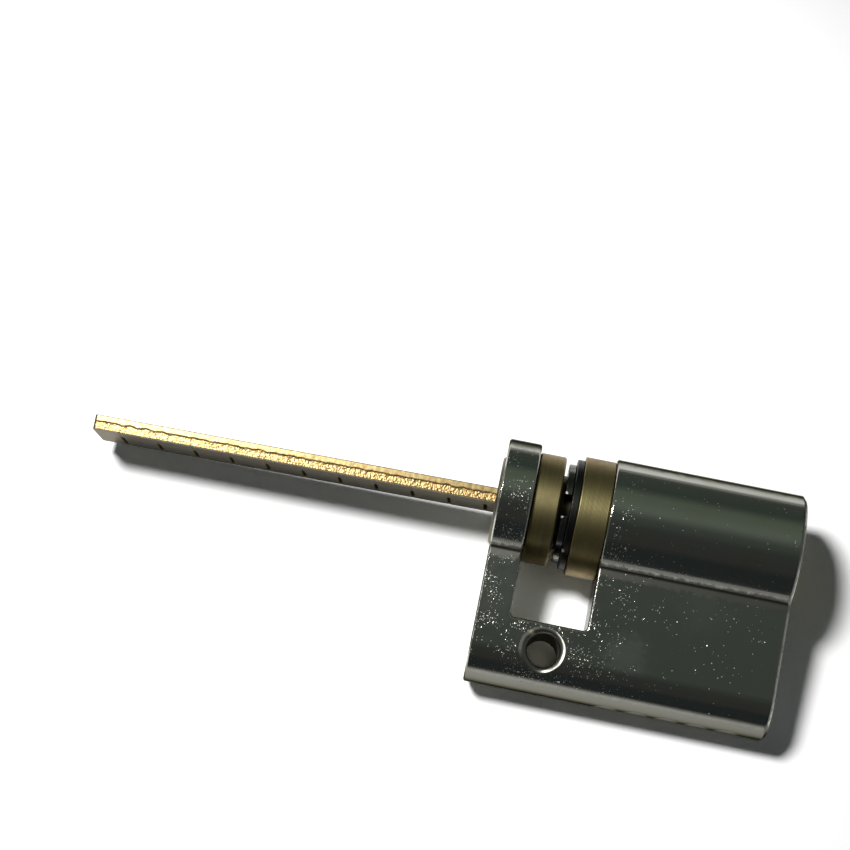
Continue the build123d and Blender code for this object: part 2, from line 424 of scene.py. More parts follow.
# The noise, turn or place where each pattern starts and ends, and its share at both
MIDDLE_NOISE = (0.3, 0.7)
TARNISH_NOISE = (0.4, 0.7)
LINE_NOISE = (0.62, 0.35)
EDGE_TURN = (0.995, 0.93)
EDGE_NOISE, EDGE_SHARE = (0.35, 0.6), (0.2, 1.0)
CLUSTER_NOISE, CLUSTER_SHARE = (0.42, 0.64), (0.08, 1.6)
CROWD_FADE, CROWD_LEFT = 12.0, 0.09
LEG_PLACE, BARREL_LEFT = (-9.0, -5.0), 0.6
PIT_WEIGHT, PIT_STEEPNESS = (0.2, 1.0), 2.5
SHAKE_SIZE, SHAKE_REACH = 0.22, 0.3
# Colour and roughness of the painted shade in the blade's notches
NOTCH_SHADE_TONE, NOTCH_SHADE_ROUGHNESS = (0.012, 0.011, 0.009), 0.5


@dataclass(frozen=True)
class MetalFinish:
    """A bare or plated metal: its tone, tarnish, tool lines, pits, soil, painted shade and
    highlights, and worn edges.

    Attributes:
        slot: The record's slot that the finish belongs to.
        tone: Colour of the clean metal.
        tarnish: Colour of the dull patches.
        tarnish_size: Width of those patches.
        tarnish_share: How much the patches show.
        rim_tone: What is left of the reflection at a grazing angle.
        roughness: Roughness of the clean metal.
        dullness: Roughness added in the dull patches.
        lay: Which way the tool lines run.
        line_pitch: Width of one tool line.
        line_depth: Depth of the tool lines.
        line_shade: How much the lines darken the metal.
        ripple_size: Width of the slow waves left by polishing.
        ripple_depth: Depth of those waves.
        pits: Layers of dings and specks.
        crowded_to: Place along the axis up to which the pits crowd.
        soils_and_painted_light: Grime and wear, and painted shade and highlights, in set places.
        edge_radius: How far an edge is rounded and worn.
        edge_tone: Colour of the metal where an edge is worn.
        edge_share: How much that colour shows.
        edge_roughness: Roughness of the metal where an edge is worn.
        dirt: The attribute of the piece's points that says where shade is painted, deep in the
            blade's notches.
    """

    slot: Slot
    tone: Colour
    tarnish: Colour
    tarnish_size: float = 3.0
    tarnish_share: float = 0.5
    rim_tone: Colour = (0.7, 0.7, 0.7)
    roughness: float = 0.2
    dullness: float = 0.1
    lay: Lay = Lay.NONE
    line_pitch: float = 0.1
    line_depth: float = 0.002
    line_shade: float = 0.0
    ripple_size: float = 1.5
    ripple_depth: float = 0.0
    pits: tuple[Pits, ...] = ()
    crowded_to: float = 8.0
    soils_and_painted_light: tuple[SoilAndPaintedLight, ...] = ()
    edge_radius: float = 0.08
    edge_tone: Colour = (0.8, 0.7, 0.45)
    edge_share: float = 0.0
    edge_roughness: float = 0.36
    dirt: str = ""


class Metal(Surface):
    """A metal surface that is built up coat by coat.

    Attributes:
        look: The finish that it shows.
        colour: The colour so far.
        roughness: The roughness so far.
        normal: The normal so far, which starts with softened edges.
    """

    def __init__(self, look: MetalFinish) -> None:
        """Start with the clean metal.

        Args:
            look: The finish that it shows.
        """
        super().__init__(look.slot.value + "_finish")
        self.look, self.colour, self.roughness = look, look.tone, look.roughness
        self.normal = self.add("Bevel", {"Radius": look.edge_radius * MM}, samples=4).outputs[0]

    def coat(self, share: Feed, tone: Colour, roughness: float) -> None:
        """Cover a share of the surface.

        Args:
            share: How much is covered.
            tone: Colour of the cover.
            roughness: Roughness of the cover.
        """
        self.colour = self.blend(share, self.colour, tone)
        mixed = self.add("Mix", {"Factor": share, "A": self.roughness, "B": roughness})
        self.roughness = mixed.outputs["Result"]

    def dent(self, height: Feed, depth: float) -> None:
        """Bend the normal by a height.

        Args:
            height: The height, from 0 to 1.
            depth: What a height of 1 stands for, in millimetres.
        """
        self.normal = self.add("Bump", {"Height": height, "Strength": 1.0, "Distance": depth * MM,
                                        "Normal": self.normal}).outputs[0]

    def lines(self) -> Socket:
        """Height of the tool lines.

        Returns:
            A number between 0 and 1.
        """
        faint = 0.02
        scale = (1.0, faint, faint) if self.look.lay is Lay.AROUND else (faint, 1.0, 1.0)
        return self.noise(self.look.line_pitch, detail=4.0, rough=0.75,
                          place=self.stretch(self.place, scale))

    def crowd(self) -> Feed:
        """How crowded the pits are: more towards the rear and on the leg, in loose clusters.

        Returns:
            The factor of each layer's share.
        """
        axes = self.add("SeparateXYZ", {0: self.place}).outputs
        start = self.look.crowded_to
        rear = self.spread(axes[0], (start, start + CROWD_FADE), (1.0, CROWD_LEFT), smooth=True)
        cluster = self.spread(self.noise(size=4.0, detail=3.0), CLUSTER_NOISE, CLUSTER_SHARE)
        leg = self.spread(axes[1], LEG_PLACE, (1.0, BARREL_LEFT), smooth=True)
        return self.product(rear, cluster, leg)

    def pit(self) -> None:
        """Add the layers of pits, on coordinates that wander a little, so that none is round."""
        crowd = self.crowd()
        drift = self.add("TexNoise", {"Vector": self.place, "Scale": 1.0 / SHAKE_SIZE,
                                      "Detail": 2.0})
        offset = self.vector("SUBTRACT", drift.outputs["Color"], (0.5, 0.5, 0.5))
        shaky = self.add("VectorMath", {0: offset, 1: (SHAKE_REACH, SHAKE_REACH, SHAKE_REACH),
                                        2: self.place}, operation="MULTIPLY_ADD").outputs[0]
        for layer in self.look.pits:
            cells = self.add("TexVoronoi", {"Vector": shaky, "Scale": 1.0 / layer.spacing}).outputs
            reach = layer.radius / layer.spacing
            bowl = self.spread(cells["Distance"], (0.0, reach), (1.0, 0.0), smooth=True)
            draws = self.add("SeparateColor", {0: cells["Color"]}).outputs
            has_pit = self.math("LESS_THAN", draws[0], self.product(crowd, layer.share))
            depth = self.product(bowl, has_pit, self.spread(draws[1], (0.0, 1.0), PIT_WEIGHT))
            shown = self.math("MINIMUM", self.product(depth, PIT_STEEPNESS), 1.0)
            self.coat(shown, layer.tone, layer.roughness)
            self.dent(self.product(depth, -1.0), layer.depth)

    def wear(self) -> None:
        """Wear the edges, where the softened normal turns away from the true one."""
        true_normal = self.add("NewGeometry").outputs["Normal"]
        turn = self.vector("DOT_PRODUCT", self.normal, true_normal)
        worn = self.spread(turn, EDGE_TURN, smooth=True)
        broken = self.spread(self.noise(size=0.8, detail=3.0), EDGE_NOISE, EDGE_SHARE)
        self.coat(self.product(worn, broken, self.look.edge_share), self.look.edge_tone,
                  self.look.edge_roughness)

    def dress(self) -> Material:
        """Lay every coat of the finish.

        Returns:
            The material, which is named for its slot.
        """
        look = self.look
        patches = self.spread(self.noise(look.tarnish_size, detail=4.0, rough=0.6), TARNISH_NOISE,
                              (0.0, look.tarnish_share), smooth=True)
        self.coat(patches, look.tarnish, look.roughness + look.dullness)
        if look.edge_share > 0:
            self.wear()
        if look.ripple_depth > 0:
            self.dent(self.noise(look.ripple_size), look.ripple_depth)
        if look.lay is not Lay.NONE:
            lines = self.lines()
            self.dent(lines, look.line_depth)
            if look.line_shade > 0:
                shade = self.spread(lines, LINE_NOISE, (0.0, look.line_shade))
                self.colour = self.blend(shade, self.colour, look.tarnish)
        if look.pits:
            self.pit()
        # Soil and wear, and painted shade and highlights, each in its set place
        for mark in look.soils_and_painted_light:
            self.coat(mark.mask(self), mark.tone, mark.roughness)
        # Painted shade where the piece's points say so, deep in the blade's notches
        if look.dirt:
            shaded = self.add("Attribute", attribute_name=look.dirt).outputs["Fac"]
            self.coat(shaded, NOTCH_SHADE_TONE, NOTCH_SHADE_ROUGHNESS)
        shader = self.add("BsdfPrincipled", {
            "Base Color": self.colour, "Roughness": self.roughness, "Metallic": 1.0,
            "Normal": self.normal, "Specular Tint": look.rim_tone})
        self.add("OutputMaterial", {"Surface": shader.outputs[0]})
        return self.material


def spot(along: float, drop: float, height: float = 0.0) -> Vector:
    """A point from its place along the axis, drop down the leg and height over the mid-plane."""
    return AXIAL * along - UP_LEG * drop + OUT_OF_FACE * height


def scuff_glint(along: float, radius: float, angle: float, width: float = 0.22) -> SoilAndPaintedLight:
    """A scuffed point on the rim of a ring, painted bright so that it shows as a glint.

    Args:
        along: Its place along the plug's axis.
        radius: The ring's radius.
        angle: Degrees round the ring, from +Y towards +Z.
        width: How far it reaches.

    Returns:
        The scuff.
    """
    centre = (along, radius * cos(radians(angle)), radius * sin(radians(angle)))
    return SoilAndPaintedLight(Spread.BALL, centre, width=width, fade=0.16, tone=(0.95, 0.93, 0.85), share=0.95,
                roughness=0.5, wobble=0.08)


# Grime and painted shade in the concave corners where the barrel meets the leg, dulling their
# reflection
CORNER_GRIME_AND_SHADE = tuple(
    SoilAndPaintedLight(Spread.ROD, spot(0.0, 7.15, height), width=0.45, fade=0.9, tone=(0.15, 0.145, 0.12),
         share=0.8, roughness=0.33, wobble=0.25)
    for height in (LEG_HALF, -LEG_HALF)
)
SCREW_HOLE_DROP = 19.0
# Painted light round the screw hole, in the four marks below
SCREW_HOLE_PAINTED_LIGHT = (
    # Painted highlight: a bright rough ring on the hole's rounded mouth
    SoilAndPaintedLight(Spread.ROD, spot(0.0, SCREW_HOLE_DROP), axis=OUT_OF_FACE, width=2.82, fade=0.12,
         tone=(0.90, 0.88, 0.75), roughness=0.5, wobble=0.03),
    # Painted shade: a dark ring, set off centre, that covers the mouth but for a crescent of that
    # highlight at the lower right
    SoilAndPaintedLight(Spread.ROD, spot(-0.29, SCREW_HOLE_DROP - 0.04), axis=OUT_OF_FACE, width=2.88, fade=0.1,
         tone=(0.20, 0.20, 0.175), share=0.94, roughness=0.32, wobble=0.07),
    # Painted shade down the bore's wall
    SoilAndPaintedLight(Spread.ROD, spot(0.0, SCREW_HOLE_DROP), axis=OUT_OF_FACE, width=2.12, fade=0.1,
         tone=(0.38, 0.365, 0.31), share=0.8, roughness=0.5, wobble=0.03),
    # Painted reflection: a brownish spot on the mouth's upper left
    SoilAndPaintedLight(Spread.BALL, spot(-1.9, SCREW_HOLE_DROP - 1.9, 4.7), width=0.25, fade=0.4,
         tone=(0.50, 0.42, 0.28), roughness=0.55, wobble=0.1),
)
# Painted shade along the leg's rounded underside, dulling its reflection of the floor
UNDERSIDE_PAINTED_SHADE = SoilAndPaintedLight(Spread.BAND, spot(0.0, 24.9), axis=UP_LEG, width=1.3, fade=1.4,
                      tone=(0.175, 0.17, 0.145), roughness=0.2, wobble=0.1)
# Painted shade on the barrel's crown, dulling its reflection of the floor
BARREL_CROWN_PAINTED_SHADE = SoilAndPaintedLight(Spread.BAND, (0.0, BARREL_RADIUS, 0.0), axis=(0.0, 1.0, 0.0), width=1.6,
                    fade=1.0, tone=(0.22, 0.22, 0.20), roughness=0.13, wobble=0.2)
# Painted shade on the chamfer round the front end, dulling its reflection
FRONT_RIM_PAINTED_SHADE = SoilAndPaintedLight(Spread.BAND, (30.12, 0.0, 0.0), width=0.14, fade=0.08, tone=(0.20, 0.20, 0.185),
                 roughness=0.3, wobble=0.14)
# Painted shade on the rear flange's crown, dulling its reflection
FLANGE_CROWN_PAINTED_SHADE = SoilAndPaintedLight(Spread.BALL, (-7.3, 8.3, 3.0), width=3.6, fade=1.6, tone=(0.17, 0.17, 0.15),
                    share=0.85, roughness=0.25, wobble=0.3)
STEM_END = SoilAndPaintedLight(Spread.BAND, (-9.8, 0.0, 0.0), width=0.35, fade=0.2, tone=(0.12, 0.12, 0.105),
                share=0.85, roughness=0.35, wobble=0.1)
FINGER_HAZE = (
    SoilAndPaintedLight(Spread.BALL, spot(10.5, 17.5, LEG_HALF), width=1.2, fade=3.4, tone=(0.50, 0.52, 0.50),
         share=0.6, roughness=0.22, wobble=0.9),
    SoilAndPaintedLight(Spread.BALL, spot(19.5, 10.0, LEG_HALF), width=0.8, fade=4.2, tone=(0.50, 0.52, 0.50),
         share=0.45, roughness=0.2, wobble=1.0),
    SoilAndPaintedLight(Spread.BALL, spot(-7.5, 12.5, LEG_HALF), width=2.0, fade=5.0, tone=(0.62, 0.63, 0.58),
         share=0.35, roughness=0.2, wobble=1.6),
)
# Grease and painted shade: the plug's stub between the rings turns near black
STUB_GREASE_AND_SHADE = SoilAndPaintedLight(Spread.BAND, (-0.6, 0.0, 0.0), width=1.2, fade=0.4, tone=(0.02, 0.018, 0.014),
                   share=0.96, roughness=0.35, wobble=0.2)
# Scuffs painted bright, to show as glints on the clip's ends and low rim and on the washer
CLIP_SCUFF_GLINTS = (scuff_glint(-0.95, 6.65, 87.0), scuff_glint(-0.95, 6.65, 113.6), scuff_glint(-0.74, 6.7, 172.0, 0.42))
WASHER_SCUFF_GLINT = scuff_glint(-0.05, 7.5, 150.0)
TORN_EDGE = SoilAndPaintedLight(Spread.BAND, BLADE_PIN - BLADE_SIDE * 0.38, axis=BLADE_SIDE, width=0.42, fade=0.16,
                 tone=(0.37, 0.25, 0.105), share=0.85, roughness=0.38, wobble=0.14)
# Tarnish on the blade's broad faces; the face turned from the lamp gets a greyer tone, painted
# shade
BROAD_FACES_TARNISH_AND_SHADE = tuple(
    SoilAndPaintedLight(Spread.BAND, BLADE_PIN + BLADE_SIDE * side, axis=BLADE_SIDE, width=0.03, fade=0.05,
         tone=tone, share=share, roughness=0.3, wobble=0.035)
    for side, tone, share in ((1.0, (0.24, 0.20, 0.115), 0.8), (-1.0, (0.21, 0.216, 0.198), 0.92))
)
# Painted shade along the blade's lower narrow edge, under the blade
LOWER_EDGE_PAINTED_SHADE = SoilAndPaintedLight(Spread.BAND, BLADE_PIN + BLADE_DOWN * 4.0, axis=BLADE_DOWN, width=0.25, fade=0.1,
                  tone=(0.13, 0.125, 0.105), share=0.95, roughness=0.5, wobble=0.05)

FINISHES = (
    MetalFinish(
        slot=Slot.NICKEL_PLATE, tone=(0.54, 0.545, 0.50), tarnish=(0.47, 0.46, 0.40),
        tarnish_size=5.0, rim_tone=(0.13, 0.13, 0.12), roughness=0.09, ripple_size=2.2,
        ripple_depth=0.004,
        lay=Lay.ALONG, line_pitch=0.45, line_depth=0.0016,
        pits=(
            Pits(spacing=0.23, share=0.55, radius=0.09, depth=0.006, tone=(0.50, 0.50, 0.45),
                 roughness=0.6),
            Pits(spacing=0.48, share=0.60, radius=0.12, depth=0.028, tone=(0.70, 0.67, 0.54),
                 roughness=0.36),
            Pits(spacing=1.3, share=0.40, radius=0.20, depth=0.06),
        ),
        crowded_to=3.0,
        soils_and_painted_light=(*FINGER_HAZE, *CORNER_GRIME_AND_SHADE, *SCREW_HOLE_PAINTED_LIGHT, UNDERSIDE_PAINTED_SHADE, BARREL_CROWN_PAINTED_SHADE,
               FLANGE_CROWN_PAINTED_SHADE, FRONT_RIM_PAINTED_SHADE),
        edge_radius=0.12, edge_tone=(0.80, 0.76, 0.54), edge_share=0.9,
    ),
    MetalFinish(
        slot=Slot.PLUG_BRASS, tone=(0.62, 0.52, 0.28), tarnish=(0.42, 0.33, 0.15), roughness=0.22,
        lay=Lay.AROUND, line_pitch=0.12, line_depth=0.003,
        pits=(Pits(spacing=0.9, share=0.3, radius=0.12, depth=0.03),),
        soils_and_painted_light=(STUB_GREASE_AND_SHADE,), edge_radius=0.06, edge_tone=(0.85, 0.74, 0.45), edge_share=0.6,
    ),
    MetalFinish(
        slot=Slot.AGED_BRASS, tone=(0.25, 0.215, 0.095), tarnish=(0.15, 0.12, 0.065),
        tarnish_size=2.2, tarnish_share=0.55, rim_tone=(0.95, 0.84, 0.80), roughness=0.42,
        dullness=0.05,
        lay=Lay.AROUND, line_pitch=0.17, line_depth=0.006, line_shade=0.5, soils_and_painted_light=(STEM_END,),
        edge_radius=0.06, edge_tone=(0.80, 0.72, 0.45), edge_share=0.7,
    ),
    MetalFinish(
        slot=Slot.BLADE_BRASS, tone=(0.33, 0.265, 0.13), tarnish=(0.21, 0.125, 0.04),
        tarnish_size=0.4, rim_tone=(0.5, 0.45, 0.4), roughness=0.36, dullness=0.08,
        lay=Lay.AROUND, line_pitch=0.15, line_depth=0.004, line_shade=0.6,
        soils_and_painted_light=(TORN_EDGE, *BROAD_FACES_TARNISH_AND_SHADE, LOWER_EDGE_PAINTED_SHADE), dirt="notch_dirt", edge_radius=0.05,
    ),
    MetalFinish(
        slot=Slot.PIN_BRASS, tone=(0.74, 0.60, 0.30), tarnish=(0.55, 0.42, 0.2), lay=Lay.ALONG,
        edge_radius=0.04,
    ),
    MetalFinish(
        slot=Slot.PLUG_SEAL, tone=(0.52, 0.51, 0.44), tarnish=(0.44, 0.41, 0.32), tarnish_size=1.5,
        rim_tone=(0.40, 0.40, 0.38), roughness=0.14, ripple_size=1.2, ripple_depth=0.005,
        pits=(Pits(spacing=0.7, share=0.3, radius=0.10, depth=0.03),), crowded_to=30.0,
        soils_and_painted_light=(UNDERSIDE_PAINTED_SHADE,), edge_radius=0.05,
    ),
    MetalFinish(
        slot=Slot.DARK_STEEL, tone=(0.048, 0.049, 0.045), tarnish=(0.025, 0.025, 0.022),
        roughness=0.3, lay=Lay.AROUND, line_pitch=0.12, soils_and_painted_light=(WASHER_SCUFF_GLINT,),
        edge_radius=0.05, edge_tone=(0.25, 0.25, 0.24), edge_share=0.6,
    ),
    MetalFinish(
        slot=Slot.CLIP_STEEL, tone=(0.20, 0.20, 0.19), tarnish=(0.03, 0.029, 0.025),
        tarnish_size=1.5, roughness=0.15, ripple_size=0.5, ripple_depth=0.012,
        pits=(Pits(spacing=0.6, share=0.5, radius=0.14, depth=0.05),), crowded_to=30.0,
        soils_and_painted_light=CLIP_SCUFF_GLINTS, edge_tone=(0.5, 0.5, 0.48), edge_share=0.8,
    ),
    MetalFinish(
        slot=Slot.SPRING_STEEL, tone=(0.5, 0.5, 0.5), tarnish=(0.3, 0.28, 0.25), tarnish_size=1.0,
        edge_radius=0.03,
    ),
)


@dataclass
class Studio:
    """Camera, lamp, room and floor.

    Attributes:
        camera_place: Where the camera stands.
        camera_target: The point in the middle of its view.
        camera_roll: Degrees that it leans about its own axis.
        lens: Focal length.
        sensor: Width of the sensor.
        near_clip: Nearest distance that the camera shows.
        lamp_place: Where the one lamp stands, to the left.
        lamp_size: Diameter of the lamp.
        lamp_power: Its power in watts.
        fill_tone: Soft light from everywhere on matt surfaces.
        floor_tone: Colour of the floor round the part.
        floor_lift: How much paler the floor looks than the light that it throws on the part.
        grain_size: Width of the faint patches in the floor.
        grain_tone: How dark those patches are.
        far_tone: Colour of the floor and the backdrop far from the part, past the lamp's light.
        floor_half: Half the floor's side.
        pool_half: Half the side of the pale part of the floor, a painted pool of the lamp's light,
            which is turned as the view is.
        pool_fade: Distance over which the pale part ends.
        pool_square: How square the pale part is: 2 is round.
        strips: Tones of the room that polished metal shows, each with its angle: degrees from
            straight up towards the barrel's side of the leg (+Y).
        end_tone: The room along the plug's axis.
        end_reach: How much a direction points along that axis where this tone starts and is full.
    """

    camera_place: Place = (-7.6, -93.8, 251.9)
    camera_target: Place = (-21.3, 8.7, 0.0)
    camera_roll: float = 12.3
    lens: float = 84.7
    sensor: float = 36.0
    near_clip: float = 10.0
    lamp_place: Place = (-166.0, 34.0, 352.0)
    lamp_size: float = 81.0
    lamp_power: float = 1.36
    fill_tone: Colour = (0.030, 0.034, 0.035)
    floor_tone: Colour = (0.90, 0.90, 0.895)
    floor_lift: float = 1.62
    grain_size: float = 40.0
    grain_tone: float = 0.985
    far_tone: Colour = (0.27, 0.27, 0.265)
    floor_half: float = 2500.0
    pool_half: float = 66.0
    pool_fade: float = 75.0
    pool_square: float = 4.0
    strips: tuple[tuple[float, Colour], ...] = (
        (-92.0, (0.045, 0.048, 0.047)),
        (-84.0, (0.024, 0.029, 0.030)),
        (-60.0, (0.023, 0.028, 0.029)),
        (-46.0, (0.040, 0.040, 0.038)),
        (-22.0, (0.040, 0.045, 0.041)),
        (-6.0, (0.060, 0.070, 0.063)),
        (14.0, (0.132, 0.158, 0.130)),
        (36.0, (0.112, 0.137, 0.106)),
        (58.0, (0.048, 0.062, 0.054)),
        (80.0, (0.058, 0.070, 0.060)),
        (92.0, (0.090, 0.100, 0.086)),
    )
    end_tone: Colour = (0.13, 0.14, 0.14)
    end_reach: tuple[float, float] = (0.45, 0.9)

    def camera(self) -> None:
        """Make the camera and hand it to the scene."""
        place = Vector(self.camera_place) * MM
        ahead = (Vector(self.camera_target) * MM - place).normalized()
        right = ahead.cross(Vector((0, 1, 0))).normalized()
        upright = right.cross(ahead)
        turn = Matrix((right, upright, -ahead)).transposed() @ Matrix.Rotation(
            radians(self.camera_roll), 3, "Z")
        data = bpy.data.cameras.new("camera")
        data.lens = self.lens
        data.sensor_width = self.sensor
        data.clip_start = self.near_clip * MM
        placed = Matrix.Translation(place) @ turn.to_4x4()
        bpy.context.scene.camera = add_object("camera", data, placed)

    def lamp(self) -> None:
        """Make the one lamp, a round one that faces the part."""
        data = bpy.data.lights.new("lamp", "AREA")
        data.shape = "DISK"
        data.size = self.lamp_size * MM
        data.energy = self.lamp_power
        place = Vector(self.lamp_place) * MM
        turn = (-place).to_track_quat("-Z", "Y").to_matrix().to_4x4()
        add_object("lamp", data, Matrix.Translation(place) @ turn).visible_camera = False

    def room(self) -> None:
        """Make the world: backdrop to the camera, strips to polished metal, soft fill elsewhere."""
        world = bpy.data.worlds.new("room")
        world.use_nodes = True
        graph = Graph(world.node_tree)
        axes = graph.add("SeparateXYZ", {0: graph.add("TexCoord").outputs["Generated"]}).outputs
        angle = graph.math("ARCTAN2", axes[1], axes[2])
        ramp = graph.add("ValToRGB", {0: graph.math("MULTIPLY_ADD", angle, 1.0 / (2.0 * pi), 0.5)})
        ramp.color_ramp.interpolation = "EASE"
        stops = ramp.color_ramp.elements
        # A ramp can't be emptied, so the stop that is left becomes the first strip
        while len(stops) > 1:
            stops.remove(stops[0])
        for number, (degrees, tone) in enumerate(self.strips):
            turn = degrees / 360.0 + 0.5
            stop = stops.new(turn) if number else stops[0]
            stop.position, stop.color = turn, (*tone, 1.0)
        sideways = graph.spread(graph.math("ABSOLUTE", axes[0]), self.end_reach, smooth=True)
        strips = graph.blend(sideways, ramp.outputs[0], self.end_tone)
        path = graph.add("LightPath").outputs
        shown = graph.blend(path["Is Glossy Ray"], self.fill_tone, strips)
        shown = graph.blend(path["Is Camera Ray"], shown, self.far_tone)
        background = graph.add("Background", {"Color": shown, "Strength": 1.0})
        graph.add("OutputWorld", {"Surface": background.outputs[0]})
        bpy.context.scene.world = world

    def floor_material(self) -> Material:
        """The floor's surface: a painted pool of the lamp's light, pale round the part, and duller
        far away.

        Returns:
            The material.
        """
        graph = Surface("pale_floor")
        centre = (self.camera_target[0], self.camera_target[1], 0.0)
        offset = graph.vector("SUBTRACT", graph.place, centre)
        roll = radians(self.camera_roll)
        sides = ((cos(roll), sin(roll), 0.0), (-sin(roll), cos(roll), 0.0))
        aside = [graph.math("ABSOLUTE", graph.vector("DOT_PRODUCT", offset, side))
                 for side in sides]
        # Summed powers of the two distances give a square with round corners
        powers = [graph.math("POWER", distance, self.pool_square) for distance in aside]
        distance = graph.math("POWER", graph.math("ADD", *powers), 1.0 / self.pool_square)
        far = graph.spread(distance, (self.pool_half, self.pool_half + self.pool_fade), smooth=True)
        grain = graph.spread(graph.noise(self.grain_size), MIDDLE_NOISE)
        patch_tone = tuple(self.grain_tone * tone for tone in self.floor_tone)
        near_tone = graph.blend(grain, self.floor_tone, patch_tone)
        path = graph.add("LightPath").outputs
        # The camera, mirrors and glass see a paler floor than the one that lights the part
        seen = graph.math("MAXIMUM", path["Is Camera Ray"], path["Is Glossy Ray"])
        seen = graph.math("MAXIMUM", seen, path["Is Transmission Ray"])
        lift = graph.math("MULTIPLY_ADD", seen, self.floor_lift - 1.0, 1.0)
        lifts = graph.add("CombineXYZ", {0: lift, 1: lift, 2: lift}).outputs[0]
        lit = graph.add("BsdfDiffuse", {"Color": graph.vector("MULTIPLY", near_tone, lifts)})
        # Past the painted pool the floor glows with its dull far tone instead of being lit
        plain = graph.add("Emission", {"Color": self.far_tone})
        shader = graph.add("MixShader", {0: far, 1: lit.outputs[0], 2: plain.outputs[0]})
        graph.add("OutputMaterial", {"Surface": shader.outputs[0]})
        return graph.material

    def floor(self) -> None:
        """Lay the floor under the part."""
        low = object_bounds()[0][2]
        half = self.floor_half * MM
        mesh = bpy.data.meshes.new("floor")
        points = [(-half, -half, low), (half, -half, low), (half, half, low), (-half, half, low)]
        mesh.from_pydata(points, [], [(0, 1, 2, 3)])
        mesh.materials.append(self.floor_material())
        add_object("floor", mesh)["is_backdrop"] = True

    def build(self) -> None:
        """Make everything around the part."""
        bpy.context.scene.view_settings.view_transform = "Standard"
        self.camera()
        self.lamp()
        self.room()
        self.floor()


class FormGraph(Graph):
    """A Geometry Nodes tree with named inputs, which grows one mesh."""

    prefix = "GeometryNode"

    def __init__(self, name: str, sizes: dict[str, float | int]) -> None:
        """Make the tree with its inputs and its output.

        Args:
            name: The tree's name.
            sizes: Its inputs by name, each with its value: whole numbers stay whole.
        """
        super().__init__(bpy.data.node_groups.new(name, "GeometryNodeTree"))
        self.sizes = sizes
        for label, value in sizes.items():
            kind = "NodeSocketInt" if isinstance(value, int) else "NodeSocketFloat"
            self.tree.interface.new_socket(label, in_out="INPUT", socket_type=kind)
        self.tree.interface.new_socket("Geometry", in_out="OUTPUT",
                                       socket_type="NodeSocketGeometry")

    def inputs(self) -> list[Socket]:
        """The sockets of the inputs, in the order of their sizes."""
        return list(self.tree.nodes.new("NodeGroupInput").outputs)[:len(self.sizes)]

    def close(self, geometry: Socket, material: Material) -> None:
        """End the tree: realize what is instanced, smooth it and give it its material.

        Args:
            geometry: The geometry so far.
            material: The material of the whole piece.
        """
        real = self.add("RealizeInstances", {"Geometry": geometry})
        smooth = self.add("SetShadeSmooth", {"Geometry": real.outputs[0], "Shade Smooth": True})
        dressed = self.add("SetMaterial", {"Geometry": smooth.outputs[0], "Material": material})
        self.feed(self.tree.nodes.new("NodeGroupOutput").inputs["Geometry"], dressed.outputs[0])

    def grow(self, name: str, placed: Matrix) -> bpy.types.Object:
        """Grow the mesh of this tree as a plain object.

        Args:
            name: The piece's name.
            placed: Where the grown mesh goes, in metres.

        Returns:
            The piece, at the origin, with its place in its mesh.
        """
        holder = add_object(name, bpy.data.meshes.new(name))
        modifier = holder.modifiers.new("form", "NODES")
        modifier.node_group = self.tree
        for item in self.tree.interface.items_tree:
            if item.in_out == "INPUT":
                modifier[item.identifier] = self.sizes[item.name]
        evaluated = holder.evaluated_get(bpy.context.evaluated_depsgraph_get())
        grown = bpy.data.meshes.new_from_object(evaluated)
        holder.modifiers.remove(modifier)
        grown.name = name
        grown.transform(placed)
        holder.data = grown
        return holder


